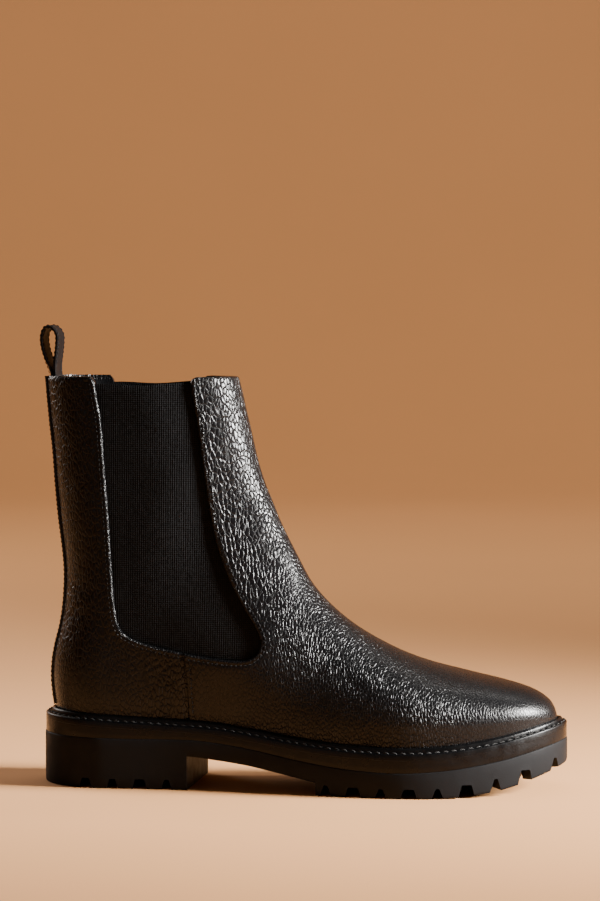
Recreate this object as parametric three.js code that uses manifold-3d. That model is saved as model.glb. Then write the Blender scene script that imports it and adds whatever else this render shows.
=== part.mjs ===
// A right-foot chelsea boot: ankle-high leather upper with two elastic gores, a pull tab,
// a storm welt, a midsole and a moulded lug sole.
// Millimetres. +X points to the toe, +Y to the wearer's left (the inner side), +Z up.
// While the parts are made, x = 0 is the back of the sole and z = 0 the ground. The finished
// group is then moved so that the origin is under the middle of the boot's own box.
import * as THREE from "three";
import { mergeVertices } from "three/addons/utils/BufferGeometryUtils.js";
import Module from "manifold-3d";

const wasm = await Module();
wasm.setup();

// ---------- driving dimensions ----------
const FEATHER_BACK = 6; // x where the upper meets the welt at the heel
const FEATHER_TOE = 284; // x where the upper meets the welt at the toe
const HEEL_ROUND = 33; // length over which the heel end rounds off, in plan
const TOE_ROUND = 80; // length over which the toe rounds off, in plan
const BACK_SHARE = 0.95; // an outline grows this much at its back for each mm at its sides
const TOE_SHARE = 0.72; // and this much at its toe
const WELT_REACH = 6; // how far the welt and sole stand out beyond the upper
const TOP_Z = 224.5; // height of the topline
const GAP = 0.3; // clearance between touching pieces
const LEATHER = 1.8;
const ELASTIC = 1.4;
const LINING = 1.0;
const STIFFENER = 1.2;
const STAY = 1.4; // thickness of the back stay
const STAY_HALF = 9; // half width of the back stay and the pull tab
const WELT_THICK = 3.4;
const RIB_HIGH = 2.4; // height of the storm rib above the welt
const LAP = 8; // how far the elastic runs on under the leather round its opening
const HEEL_BREAST = 85; // x of the front face of the heel
const TREAD_BACK = 157; // x where the forefoot tread starts
const LUG_PITCH = 14.9;
const THREAD = 0.35; // radius of the sewing thread
const FLEX = { x: 95, z: 50, r: 92 }; // the shaft front bends forward about this axis
const DROP = 6; // how far an inner solid runs on past the shell it hollows out

// layer depths below the outer face of the leather
const LEATHER_IN = LEATHER;
const MIDDLE_OUT = LEATHER_IN + GAP;
const MIDDLE_IN = MIDDLE_OUT + ELASTIC;
const LINING_OUT = MIDDLE_IN + GAP;
const LINING_IN = LINING_OUT + LINING;

// ---------- profiles along the boot: [x, value] ----------
const bodyHalf = smooth([
  [0, 28.5], [45, 28.8], [85, 27.4], [110, 27.8], [140, 31.5],
  [170, 38], [200, 43], [225, 44.2], [250, 44], [290, 43],
]);
const centre = smooth([[0, 0], [60, 0], [110, -2.5], [150, -3], [200, -1.5], [240, 2.5], [290, 8]]);
const featherZ = smooth([
  [0, 39.3], [30, 37.8], [67, 36], [100, 34.3], [122, 31.3], [149, 27.4],
  [175, 25.2], [200, 24.4], [225, 25.3], [250, 28.4], [270, 32.6], [290, 37.6],
]);
const midsoleZ = smooth([
  [0, 28], [50, 27.2], [86, 27.2], [103, 25.8], [122, 23], [149, 18],
  [176, 14.7], [203, 13.6], [230, 15.3], [257, 19.6], [278, 24.8], [290, 28],
]);
const rootZ = smooth([
  [0, 18.6], [85, 18.4], [99, 17], [120, 14.2], [147, 8.8], [162, 6],
  [180, 5.3], [203, 5.2], [225, 5.8], [245, 8.6], [262, 12.2], [278, 17], [290, 21],
]);
const toeSpring = smooth([[0, 0], [212, 0], [228, 0.3], [246, 2], [262, 5], [276, 9.6], [290, 15]]);
const groundZ = (x) => Math.max(0, toeSpring(x));

const backX = smooth([
  [38, 6], [44, 5.2], [56, 4], [66, 4.3], [76, 6], [86, 8.6], [96, 10.3], [110, 11.3],
  [120, 11.2], [132, 10], [146, 8.2], [165, 6.4], [184, 5], [200, 3.2], [224.5, 0.9],
]);

// The upper as a stack of planes that fan round the ankle, from the toe to the topline:
// foot of the section [x, z], its ridge [x, z], half width of the shaft there, how much of
// that it takes (the rest is the foot's own width), and how far up the crown starts.
const SECTIONS = [
  { foot: [283.4, 36.3], ridge: [283.4, 39.5], half: 34, shaft: 0, rise: 0.3 },
  { foot: [281.6, 35.8], ridge: [281.6, 44.6], half: 34, shaft: 0, rise: 0.3 },
  { foot: [277.5, 34.6], ridge: [277.5, 49.6], half: 34, shaft: 0, rise: 0.3 },
  { foot: [269, 32.4], ridge: [269, 54.4], half: 34, shaft: 0, rise: 0.3 },
  { foot: [254, 29.1], ridge: [254, 58.8], half: 34, shaft: 0, rise: 0.3 },
  { foot: [236, 26.5], ridge: [236, 63], half: 34, shaft: 0, rise: 0.3 },
  { foot: [214, 24.8], ridge: [216, 68.2], half: 34, shaft: 0, rise: 0.3 },
  { foot: [191, 24.6], ridge: [197, 75.2], half: 34, shaft: 0.1, rise: 0.28 },
  { foot: [168, 25.7], ridge: [181.6, 83.2], half: 33.6, shaft: 0.3, rise: 0.26 },
  { foot: [144, 28.1], ridge: [168.9, 91.8], half: 33.2, shaft: 0.6, rise: 0.26 },
  { foot: [116, 32.2], ridge: [158, 101.6], half: 32.8, shaft: 0.85, rise: 0.28 },
  { foot: [84, 35.2], ridge: [149, 112.4], half: 32.4, shaft: 1, rise: 0.32 },
  { foot: [50, 36.8], ridge: [142, 124.6], half: 32, shaft: 1, rise: 0.36 },
  { foot: [24, 38.1], ridge: [136, 136], half: 31.6, shaft: 1, rise: 0.4 },
  { foot: [10, 38.9], ridge: [131, 146], half: 31.2, shaft: 1, rise: 0.43 },
  { foot: [backX(41), 41], ridge: [127.6, 154], half: 31, shaft: 1, rise: 0.45 },
  { foot: [backX(56), 56], ridge: [123.4, 164], half: 30.6, shaft: 1, rise: 0.46 },
  { foot: [backX(76), 76], ridge: [119.6, 175.6], half: 30.2, shaft: 1, rise: 0.47 },
  { foot: [backX(96), 96], ridge: [116.6, 187.4], half: 29.8, shaft: 1, rise: 0.48 },
  { foot: [backX(118), 118], ridge: [114.2, 197.6], half: 29.4, shaft: 1, rise: 0.5 },
  { foot: [backX(143), 143], ridge: [112, 207], half: 29, shaft: 1, rise: 0.5 },
  { foot: [backX(170), 170], ridge: [110.4, 214.4], half: 28.8, shaft: 1, rise: 0.5 },
  { foot: [backX(198), 198], ridge: [109, 220], half: 28.6, shaft: 1, rise: 0.5 },
  { foot: [backX(TOP_Z), TOP_Z], ridge: [107.8, TOP_Z], half: 28.5, shaft: 1, rise: 0.5 },
];
const CROWN = 2.1; // power of the curve that closes a section over its ridge
const BULGE = 1.6; // the foot stands out this much over the feather line
const BULGE_HIGH = 16; // height at which it does so
const BACK_FLAT = 0.4; // half width of the flat at the ends of a section

// Outlines of the pieces, seen from the side: [x, z].
const GORE = [
  [33, 221], [36.4, 201], [38.5, 174], [40.7, 146], [42.8, 113.5], [44.5, 97], [46.9, 87.4],
  [52.5, 82.4], [64, 78.4], [83, 74.4], [97, 72.2], [111, 71], [119.5, 72], [124.6, 76.4],
  [125.4, 82], [122.7, 88.6], [115, 101], [106.7, 116.4], [99.6, 136], [95.2, 158],
  [91.4, 185], [88.1, 206.7], [85.6, 223],
];
const SIDE_SEAM = [[83.5, 74.4], [85, 60], [87.5, 20]];
const COUNTER = [[-20, 20], [-20, 92], [20, 92], [30, 80], [42, 70], [56, 64], [76, 56], [82, 20]];

// ---------- small tools ----------
// A smooth function through [x, value] pairs, held level past its ends.
function smooth(table) {
  const n = table.length;
  const slope = table.map((_, i) => {
    const a = table[Math.max(i - 1, 0)];
    const b = table[Math.min(i + 1, n - 1)];
    return (b[1] - a[1]) / (b[0] - a[0]);
  });
  return (x) => {
    if (x <= table[0][0]) return table[0][1];
    if (x >= table[n - 1][0]) return table[n - 1][1];
    const i = table.findIndex((p) => p[0] > x) - 1;
    const h = table[i + 1][0] - table[i][0];
    const t = (x - table[i][0]) / h;
    return (
      (2 * t ** 3 - 3 * t ** 2 + 1) * table[i][1] +
      (t ** 3 - 2 * t ** 2 + t) * h * slope[i] +
      (3 * t ** 2 - 2 * t ** 3) * table[i + 1][1] +
      (t ** 3 - t ** 2) * h * slope[i + 1]
    );
  };
}

// A closed skin over rings of points, with flat ends unless the rings join up.
function loft(rings, joined = false) {
  const size = rings[0].length;
  const position = rings.flat().flatMap((p) => [p.x, p.y, p.z]);
  const index = [];
  const last = joined ? rings.length : rings.length - 1;
  for (let i = 0; i < last; i++) {
    for (let j = 0; j < size; j++) {
      const a = i * size + j;
      const b = i * size + ((j + 1) % size);
      const c = ((i + 1) % rings.length) * size + ((j + 1) % size);
      const d = ((i + 1) % rings.length) * size + j;
      index.push(a, b, c, a, c, d);
    }
  }
  if (!joined) {
    for (const [ring, flip] of [[0, true], [rings.length - 1, false]]) {
      const middle = new THREE.Vector3();
      rings[ring].forEach((p) => middle.addScaledVector(p, 1 / size));
      const hub = position.length / 3;
      position.push(middle.x, middle.y, middle.z);
      for (let j = 0; j < size; j++) {
        const a = ring * size + j;
        const b = ring * size + ((j + 1) % size);
        index.push(...(flip ? [hub, b, a] : [hub, a, b]));
      }
    }
  }
  const geometry = new THREE.BufferGeometry();
  geometry.setAttribute("position", new THREE.Float32BufferAttribute(position, 3));
  geometry.setIndex(index);
  return geometry;
}

function solid(geometry) {
  const bare = geometry.clone();
  bare.deleteAttribute("normal");
  bare.deleteAttribute("uv");
  const merged = mergeVertices(bare, 1e-4);
  const triVerts = new Uint32Array(merged.index.array);
  const vertProperties = merged.attributes.position.array;
  const made = new wasm.Manifold(new wasm.Mesh({ numProp: 3, vertProperties, triVerts }));
  if (made.volume() > 0) return made;
  return new wasm.Manifold(
    new wasm.Mesh({ numProp: 3, vertProperties, triVerts: triVerts.toReversed() }),
  );
}

// The largest body of a solid, without the slivers that a cut can leave.
function whole(manifold) {
  return manifold.decompose().reduce((a, b) => (a.volume() > b.volume() ? a : b));
}

function geometryOf(manifold) {
  const mesh = manifold.getMesh();
  const geometry = new THREE.BufferGeometry();
  geometry.setAttribute("position", new THREE.BufferAttribute(mesh.vertProperties, 3));
  geometry.setIndex(new THREE.BufferAttribute(mesh.triVerts, 1));
  return geometry;
}

// A side-view outline made solid from y = low to y = high.
function prism(outline, low = -90, high = 90) {
  const shape = new THREE.Shape(outline.map(([x, z]) => new THREE.Vector2(x, z)));
  const geometry = new THREE.ExtrudeGeometry(shape, { depth: high - low, bevelEnabled: false });
  geometry.rotateX(Math.PI / 2);
  geometry.translate(0, high, 0);
  return solid(geometry);
}

// The same outline moved outwards by a distance, along its own corner normals.
function grown(outline, distance) {
  const n = outline.length;
  const area = outline.reduce((sum, [x, z], i) => {
    const [u, w] = outline[(i + 1) % n];
    return sum + x * w - u * z;
  }, 0);
  const side = Math.sign(area) * distance;
  return outline.map(([x, z], i) => {
    const a = outline[(i + n - 1) % n];
    const b = outline[(i + 1) % n];
    const length = Math.hypot(b[0] - a[0], b[1] - a[1]);
    return [x + (side * (b[1] - a[1])) / length, z - (side * (b[0] - a[0])) / length];
  });
}

function box(x0, x1, y0, y1, z0, z1) {
  const geometry = new THREE.BoxGeometry(x1 - x0, y1 - y0, z1 - z0);
  geometry.translate((x0 + x1) / 2, (y0 + y1) / 2, (z0 + z1) / 2);
  return solid(geometry);
}

// ---------- plan outline of the sole and the slabs made from it ----------
function roundedEnd(distance, length) {
  const t = 1 - THREE.MathUtils.clamp(distance / length, 0, 1);
  return Math.sqrt(1 - t * t);
}

// The feather outline moved outwards by a margin: where it starts and ends, and its half width.
function outline(margin) {
  const back = FEATHER_BACK - margin * BACK_SHARE;
  const toe = FEATHER_TOE + margin * TOE_SHARE;
  const half = (x) =>
    (bodyHalf(x) + margin) *
    roundedEnd(x - back, HEEL_ROUND + margin) *
    roundedEnd(toe - x, TOE_ROUND + margin);
  return { back, toe, half };
}

// A slab over the outline between two heights, from x = from to x = to.
function slab(margin, low, high, from = -Infinity, to = Infinity, steps = 30) {
  const { back, toe, half } = outline(margin);
  const start = Math.max(back + 0.12, from);
  const end = Math.min(toe - 0.12, to);
  const rings = [];
  for (let i = 0; i <= steps; i++) {
    const x = start + ((end - start) * (1 - Math.cos((Math.PI * i) / steps))) / 2;
    const y = [centre(x) - half(x), centre(x) + half(x)];
    const z = [low(x), high(x)];
    rings.push([
      new THREE.Vector3(x, y[0], z[0]),
      new THREE.Vector3(x, y[1], z[0]),
      new THREE.Vector3(x, y[1], z[1]),
      new THREE.Vector3(x, y[0], z[1]),
    ]);
  }
  return solid(loft(rings));
}

// A rod of the given section swept round the outline. The section is [outwards, up].
function ringRod(margin, height, section, steps = 30) {
  const { back, toe, half } = outline(margin);
  const path = [];
  for (let i = 0; i <= steps; i++) {
    const x = back + ((toe - back) * (1 - Math.cos((Math.PI * i) / steps))) / 2;
    path.push([x, centre(x) - half(x)]);
  }
  for (let i = steps - 1; i > 0; i--) path.push([path[i][0], 2 * centre(path[i][0]) - path[i][1]]);
  const n = path.length;
  const rings = path.map(([x, y], i) => {
    const a = path[(i + n - 1) % n];
    const b = path[(i + 1) % n];
    const length = Math.hypot(b[0] - a[0], b[1] - a[1]);
    const out = [(b[1] - a[1]) / length, -(b[0] - a[0]) / length];
    return section.map(([s, up]) => new THREE.Vector3(x + out[0] * s, y + out[1] * s, height(x) + up));
  });
  return solid(loft(rings, true));
}

// ---------- the upper's surface ----------
const featherHalf = outline(0).half;
const along = (pick) => smooth(SECTIONS.map((s, i) => [i, pick(s)]));
const footLine = along((s) => s.foot[0]);
const footZ = along((s) => s.foot[1]);
const ridgeX = along((s) => s.ridge[0]);
const ridgeZ = along((s) => s.ridge[1]);
const shaftHalf = along((s) => s.half);
const shaftShare = along((s) => s.shaft);
const rise = along((s) => s.rise);
const LAST = SECTIONS.length - 1;
const CORNER = 15; // the section through the bottom of the heel's back
const footX = (u) => (u > CORNER ? backX(footZ(u)) : footLine(u));
const clamp = THREE.MathUtils.clamp;

// Half width of the foot at a point seen from the side, before the crown closes over it.
function footHalf(x, z) {
  const high = clamp((z - featherZ(x)) / BULGE_HIGH, 0, 1);
  const toe = roundedEnd(FEATHER_TOE - x, TOE_ROUND);
  return (bodyHalf(x) + BULGE * Math.sin((Math.PI / 2) * high)) * toe;
}

// A point of the leather's outer face: section u, 0 at the foot to 1 at the ridge, side -1 or 1.
function skin(u, q, side) {
  const upright = THREE.MathUtils.smoothstep(u, CORNER - 3, CORNER + 2);
  const low = Math.sin((Math.PI * q) / 2);
  const r = THREE.MathUtils.lerp(low, (1 - Math.cos(Math.PI * q)) / 2, upright);
  const x = footX(u) + r * (ridgeX(u) - footX(u));
  const z = footZ(u) + r * (ridgeZ(u) - footZ(u));
  const away = THREE.MathUtils.smoothstep(z - featherZ(x), 0, 40);
  const full = THREE.MathUtils.lerp(footHalf(x, z), shaftHalf(u), shaftShare(u) * away);
  const start = rise(u);
  const crown = r < start ? 1 : (1 - ((r - start) / (1 - start)) ** CROWN) ** (1 / CROWN);
  const back = roundedEnd(x - backX(z), HEEL_ROUND);
  const y = centre(x) * (1 - upright);
  return new THREE.Vector3(x, y + side * Math.hypot(full * crown * back, BACK_FLAT), z);
}

// The same point moved inwards along the surface's normal.
function inside(u, q, side, depth) {
  const du = 0.02;
  const dq = 0.01;
  const a = skin(Math.min(u + du, LAST), q, side).sub(skin(Math.max(u - du, 0), q, side));
  const b = skin(u, Math.min(q + dq, 1), side).sub(skin(u, Math.max(q - dq, 0), side));
  const normal = a.cross(b).normalize();
  if (q > 0.999) normal.y = 0;
  const point = skin(u, q, side);
  const outward = normal.multiplyScalar(side);
  outward.normalize();
  return point.addScaledVector(outward, -depth);
}

// The closed form of the upper at a depth below its outer face. With drop, it runs on
// below the feather line and above the topline, so that it can hollow a shell right through.
function form(depth, drop = 0, sections = 30, around = 8) {
  const rings = [];
  for (let i = 0; i <= sections; i++) {
    const u = (LAST * i) / sections;
    const ring = [];
    for (let j = 0; j <= around; j++) ring.push(inside(u, j / around, -1, depth));
    for (let j = around - 1; j >= 0; j--) ring.push(inside(u, j / around, 1, depth));
    if (drop) {
      const down = u <= CORNER ? drop : 0.01;
      ring.unshift(ring[0].clone().add(new THREE.Vector3(0, 0, -down)));
      ring.push(ring[ring.length - 1].clone().add(new THREE.Vector3(0, 0, -down)));
    }
    rings.push(ring);
  }
  if (drop) {
    const top = rings[rings.length - 1];
    rings.push(top.map((p) => p.clone().add(new THREE.Vector3(0, 0, drop))));
  }
  return solid(loft(rings));
}

const belowFeather = slab(20, () => -5, featherZ);
const shell = (outer, inner) => form(outer).subtract(form(inner, DROP)).subtract(belowFeather);
const leather = shell(0, LEATHER_IN);
const middle = shell(MIDDLE_OUT, MIDDLE_IN);
const lining = shell(LINING_OUT, LINING_IN);

// Finds the section and share whose point shows at [x, z] from the side.
function locate(x, z, side) {
  let best = [0, 0, Infinity];
  for (let i = 0; i <= 2 * LAST; i++) {
    for (let j = 0; j <= 20; j++) {
      const p = skin(i / 2, j / 20, side);
      const d = Math.hypot(p.x - x, p.z - z);
      if (d < best[2]) best = [i / 2, j / 20, d];
    }
  }
  let [u, q] = best;
  for (let step = 0; step < 12; step++) {
    const p = skin(u, q, side);
    const e = 1e-3;
    const a = skin(u + e, q, side).sub(p).divideScalar(e);
    const b = skin(u, q + e, side).sub(p).divideScalar(e);
    const det = a.x * b.z - a.z * b.x || 1e-9;
    const dx = x - p.x;
    const dz = z - p.z;
    u = THREE.MathUtils.clamp(u + (dx * b.z - dz * b.x) / det, 0, LAST);
    q = THREE.MathUtils.clamp(q + (a.x * dz - a.z * dx) / det, 0.002, 0.998);
  }
  return [u, q];
}

// A thread laid along a side-view path, just proud of the leather.
function thread(path, side, lift = 2 * GAP + THREAD) {
  const line = new THREE.CatmullRomCurve3(path.map(([x, z]) => new THREE.Vector3(x, 0, z)));
  const spots = line.getSpacedPoints(18).map((p) => {
    const [u, q] = locate(p.x, p.z, side);
    return inside(u, q, side, -lift);
  });
  const curve = new THREE.CatmullRomCurve3(spots);
  const section = new THREE.Shape();
  section.absarc(0, 0, THREAD, 0, 2 * Math.PI);
  return new THREE.ExtrudeGeometry(section, {
    extrudePath: curve, steps: 18, curveSegments: 2, bevelEnabled: false,
  });
}

// ---------- materials ----------
const material = (color, roughness, metalness = 0) =>
  new THREE.MeshStandardMaterial({ color, roughness, metalness });
const MATERIALS = {
  leather: material(0x17171a, 0.42),
  elastic: material(0x1c1d1d, 0.9),
  lining: material(0x241f1c, 0.7),
  board: material(0x8a6a45, 0.85),
  cork: material(0x9a6b3c, 0.95),
  foam: material(0x3a3a3c, 0.95),
  steel: material(0x9a9da0, 0.35, 1),
  welt: material(0x161617, 0.4),
  rubber: material(0x2a2a2b, 0.65),
  thread: material(0x202022, 0.6),
};

const boot = new THREE.Group();
function add(name, part, materialName) {
  const geometry = part.isBufferGeometry ? part : geometryOf(whole(part));
  const mesh = new THREE.Mesh(geometry, MATERIALS[materialName]);
  mesh.name = name;
  boot.add(mesh);
}

// ---------- leather, elastic and lining ----------
const goreOpening = [...GORE, [86, 260], [33, 260]];
const behindSeam = [
  [-40, 0], [-40, 260], [60, 260], [60, 82], [83.5, 74.4 - 0.2], ...SIDE_SEAM.slice(1), [87.5, 0],
];
const foreSide = (outlineXZ) => grown(outlineXZ, GAP / 2);
const SIDES = [["outer", -1], ["inner", 1]];
const halfSpace = (side) => (side < 0 ? box(-60, 320, -90, -GAP / 2, 0, 300) : box(-60, 320, GAP / 2, 90, 0, 300));

// The part of a layer above the bend, which moves with the shaft front, and the part below it.
function bendDisc(radius) {
  const disc = new THREE.Shape();
  disc.absarc(FLEX.x, FLEX.z, radius, 0, 2 * Math.PI);
  const geometry = new THREE.ExtrudeGeometry(disc, { depth: 180, bevelEnabled: false, curveSegments: 40 });
  geometry.rotateX(Math.PI / 2);
  geometry.translate(0, 90, 0);
  return solid(geometry);
}
const upperHalf = box(60, 160, -90, 90, FLEX.z + 58, 300);

const topCut = grown([...GORE.slice(0, -1), [85.6, 223]], 0);
function frontAndShaft(layer, cutter) {
  const front = layer.subtract(prism(grown(behindSeam, GAP / 2))).subtract(cutter);
  const moving = front.intersect(upperHalf).subtract(bendDisc(FLEX.r + GAP / 2));
  const still = front.subtract(upperHalf.subtract(bendDisc(FLEX.r - GAP / 2)));
  return [still, moving];
}

const goreCut = prism(grown(goreOpening, GAP / 2));
const [vamp, shaftFront] = frontAndShaft(leather, goreCut);
add("vamp", vamp, "leather");
add("shaft_front", shaftFront, "leather");
const [vampLining, shaftLining] = frontAndShaft(lining, goreCut);
add("vamp_lining", vampLining, "lining");
add("shaft_front_lining", shaftLining, "lining");

const quarterZone = prism(grown(behindSeam, -GAP / 2)).subtract(goreCut);
for (const [name, side] of SIDES) {
  add(`${name}_quarter`, leather.intersect(quarterZone).intersect(halfSpace(side)), "leather");
  add(`${name}_quarter_lining`, lining.intersect(quarterZone).intersect(halfSpace(side)), "lining");
}

const goreTop = [...GORE, [85.6, 223]];
const goreSheet = prism(grown(goreTop, LAP)).intersect(box(0, 150, -90, 90, 40, 222));
for (const [name, side] of SIDES) {
  const half = side < 0 ? box(-60, 320, -90, -3, 0, 300) : box(-60, 320, 3, 90, 0, 300);
  add(`${name}_gore`, middle.intersect(goreSheet).intersect(half), "elastic");
}

const stiff = shell(MIDDLE_OUT, MIDDLE_OUT + STIFFENER)
  .subtract(form(LINING_OUT - GAP / 2, DROP))
  .intersect(form(LEATHER_IN + GAP / 2, DROP));
add("heel_counter", stiff.intersect(prism(COUNTER)), "board");
add("toe_puff", stiff.intersect(box(236, 300, -90, 90, 0, 120)), "board");

const stayZone = box(-40, 42, -STAY_HALF, STAY_HALF, 38.8 + RIB_HIGH + GAP, TOP_Z);
add("back_stay", shell(-GAP - STAY, -GAP).intersect(stayZone), "leather");

// ---------- pull tab: a strap looped over itself, that stands on the topline ----------
const TAB_THICK = 1.7;
const TAB_FOOT = TOP_Z + 3; // also the height of the line it bends about
const TAB_LINE = [
  [2.6, TAB_FOOT], [1.5, 233], [-0.6, 241], [-0.9, 247], [1.2, 251.4], [4.4, 251.4],
  [7.4, 247.6], [7.5, 241], [5.8, 233], [4.8, TAB_FOOT],
];
function strap(line, thick, halfWidth, steps = 26) {
  const curve = new THREE.CatmullRomCurve3(line.map(([x, z]) => new THREE.Vector3(x, 0, z)));
  const rings = [];
  for (let i = 0; i <= steps; i++) {
    const p = curve.getPointAt(i / steps);
    const t = curve.getTangentAt(i / steps);
    const across = new THREE.Vector3(t.z, 0, -t.x).multiplyScalar(thick / 2);
    const ring = [[1, -1], [1, 1], [-1, 1], [-1, -1]].map(([s, side]) =>
      p.clone().addScaledVector(across, s).setY(side * halfWidth),
    );
    rings.push(ring);
  }
  return solid(loft(rings));
}
add("pull_tab", strap(TAB_LINE, TAB_THICK, STAY_HALF), "leather");

// ---------- inside the bottom ----------
const plus = (height, up) => (x) => height(x) + up;
const INSIDE = -9; // margin of what lies inside the lining
const inner = (low, high, from, to) =>
  slab(INSIDE, plus(featherZ, low), plus(featherZ, high), from, to, 20);
add("insole_board", inner(0.4, 2.8), "board");
add("heel_pad", inner(3.1, 5.1, -Infinity, 78), "foam");
add("sock_liner", inner(5.4, 7), "lining");

const RIB_IN = -8.8; // margins of the insole rib's two faces
const FILL_IN = -10.4;
const shankZone = (gap) => box(48 - gap, 152 + gap, -7 - gap, 7 + gap, 0, 60);
const rim = slab(RIB_IN, plus(featherZ, -2.6), plus(featherZ, 0.1), -Infinity, Infinity, 22);
const fill = slab(FILL_IN - GAP, plus(featherZ, -3.2), plus(featherZ, 0.05), -Infinity, Infinity, 22);
const shank = slab(FILL_IN, plus(featherZ, -1.5), plus(featherZ, 0.05)).intersect(shankZone(0));
const hollow = slab(FILL_IN, plus(featherZ, -1.8), plus(featherZ, 3)).intersect(shankZone(GAP));
add("insole_rib", rim.subtract(slab(FILL_IN, plus(featherZ, -4), plus(featherZ, 1))), "board");
add("bottom_filler", fill.subtract(hollow), "cork");
add("shank", shank, "steel");

// ---------- welt, midsole and sole ----------
const weltTop = plus(featherZ, -GAP);
const weltLow = plus(featherZ, -GAP - WELT_THICK);
const ribSection = [[0.2, -1.4], [2.4, -1.4], [2.4, 0.9], [1.9, RIB_HIGH], [0.8, RIB_HIGH]];
const rib = ringRod(0, featherZ, ribSection);
const welt = slab(WELT_REACH, weltLow, weltTop)
  .subtract(slab(-8, plus(featherZ, -9), plus(featherZ, 9)))
  .add(rib)
  .subtract(form(-GAP, DROP).intersect(box(-60, 320, -90, 90, 0, 90)).subtract(
    slab(WELT_REACH + 4, plus(featherZ, -20), plus(featherZ, -GAP / 2)),
  ));
add("welt", welt, "welt");
const midsole = slab(WELT_REACH + 0.3, midsoleZ, plus(featherZ, -2 * GAP - WELT_THICK));
add("midsole", midsole, "welt");

// A groove across the tread: a wedge that narrows upwards, from y0 to y1, turned about its middle.
function groove(x, wide, narrow, root, y0, y1, turn = 0) {
  const shape = new THREE.Shape([
    new THREE.Vector2(-wide / 2, -8),
    new THREE.Vector2(wide / 2, -8),
    new THREE.Vector2(wide / 2, groundZ(x) - 0.2),
    new THREE.Vector2(narrow / 2, root),
    new THREE.Vector2(-narrow / 2, root),
    new THREE.Vector2(-wide / 2, groundZ(x) - 0.2),
  ]);
  const geometry = new THREE.ExtrudeGeometry(shape, { depth: Math.abs(y1 - y0), bevelEnabled: false });
  geometry.rotateX(Math.PI / 2);
  geometry.translate(0, Math.abs(y1 - y0) / 2, 0);
  geometry.rotateZ(turn);
  geometry.translate(x, (y0 + y1) / 2, 0);
  return solid(geometry);
}

const RIM = 21; // width of the ring of lugs round the edge
function treadCuts() {
  const cuts = [];
  const { half } = outline(WELT_REACH);
  for (let k = 0; k < 9; k++) {
    const x = TREAD_BACK + 6 + k * LUG_PITCH;
    const [wide, narrow] = k % 2 ? [7.6, 5.2] : [5, 2];
    const reach = Math.min(half(x), 60);
    const lean = THREE.MathUtils.degToRad(THREE.MathUtils.mapLinear(k, 0, 8, -4, 26));
    for (const side of [-1, 1]) {
      const rim = centre(x) + side * (reach - RIM / 2 + 6);
      const y = [rim - side * (RIM / 2 + 6), rim + side * (RIM / 2 + 6)].sort((a, b) => a - b);
      cuts.push(groove(x, wide, narrow, rootZ(x), y[0], y[1], -side * lean));
    }
  }
  for (let k = 0; k < 4; k++) {
    const x = TREAD_BACK + 20 + k * 2 * LUG_PITCH;
    const reach = outline(WELT_REACH).half(x) - RIM;
    if (reach > 3) {
      cuts.push(groove(x, 5, 3.6, rootZ(x), centre(x) - reach, centre(x) + reach));
    }
  }
  return cuts;
}

const soleEdge = WELT_REACH + 0.3;
const soleTop = plus(midsoleZ, -GAP);
let tread = slab(soleEdge, groundZ, plus(rootZ, 0.6), TREAD_BACK, Infinity, 20);
const channel = slab(soleEdge - RIM, () => -8, rootZ, TREAD_BACK - 5).subtract(
  slab(soleEdge - RIM - 3.6, () => -9, () => 60, TREAD_BACK + 4),
);
tread = tread.subtract(channel);
for (const cut of treadCuts()) tread = tread.subtract(cut);

let heel = slab(soleEdge, () => 0, () => 20, -Infinity, HEEL_BREAST, 18);
const HEEL_GROOVES = [28, 43.5, 59, 73.5];
HEEL_GROOVES.forEach((x, k) => {
  const [wide, narrow] = k % 2 ? [5, 3.4] : [6.6, 4.6];
  for (const y of [[-60, -12], [12, 60]]) heel = heel.subtract(groove(x, wide, narrow, 4.8, ...y));
});
heel = heel.subtract(
  slab(soleEdge - 14, () => -8, () => 4.8, -Infinity, 78).subtract(
    slab(soleEdge - 17.4, () => -9, () => 9, -Infinity, 74),
  ),
);
heel = heel.subtract(box(33, 37, -10, 10, -8, 4.8)).subtract(box(50, 54, -12, 12, -8, 4.8));
const sole = slab(soleEdge, rootZ, soleTop).add(heel).add(tread);
add("lug_sole", sole, "rubber");

// ---------- threads ----------
const threadIn = 2.6; // distance of a seam's stitches from the leather's edge
const outlineIn = grown(goreOpening, threadIn);
for (const [name, side] of SIDES) {
  const edge = outlineIn.slice(1, GORE.length - 1);
  add(`${name}_quarter_thread`, thread(edge.slice(0, 8), side), "thread");
  add(`${name}_vamp_thread`, thread(edge.slice(9, 18), side), "thread");
  add(`${name}_shaft_thread`, thread(edge.slice(18), side), "thread");
  const seam = [[87.4, 70], [87.8, 60], [89.2, 44]];
  add(`${name}_side_thread`, thread(seam, side), "thread");
}
const threadSection = [[THREAD, 0], [0, THREAD], [-THREAD, 0], [0, -THREAD]];
add("welt_thread", ringRod(4.6, plus(weltTop, 2.5 * GAP + THREAD), threadSection), "thread");

// ---------- origin ----------
const bounds = new THREE.Box3().setFromObject(boot);
const middlePoint = bounds.getCenter(new THREE.Vector3());
boot.position.set(-middlePoint.x, -middlePoint.y, -bounds.min.z);

export default boot;
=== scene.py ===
"""A black leather chelsea boot with elastic gores, a storm welt and a lug sole.

The boot is worked out in millimetres with x = 0 at the back of the sole, y = 0 on its middle
line and z = 0 on the ground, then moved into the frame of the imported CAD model, in metres.
"""

import math

import bpy
import numpy as np
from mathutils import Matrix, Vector
from mathutils.geometry import delaunay_2d_cdt
from mathutils.kdtree import KDTree


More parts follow.
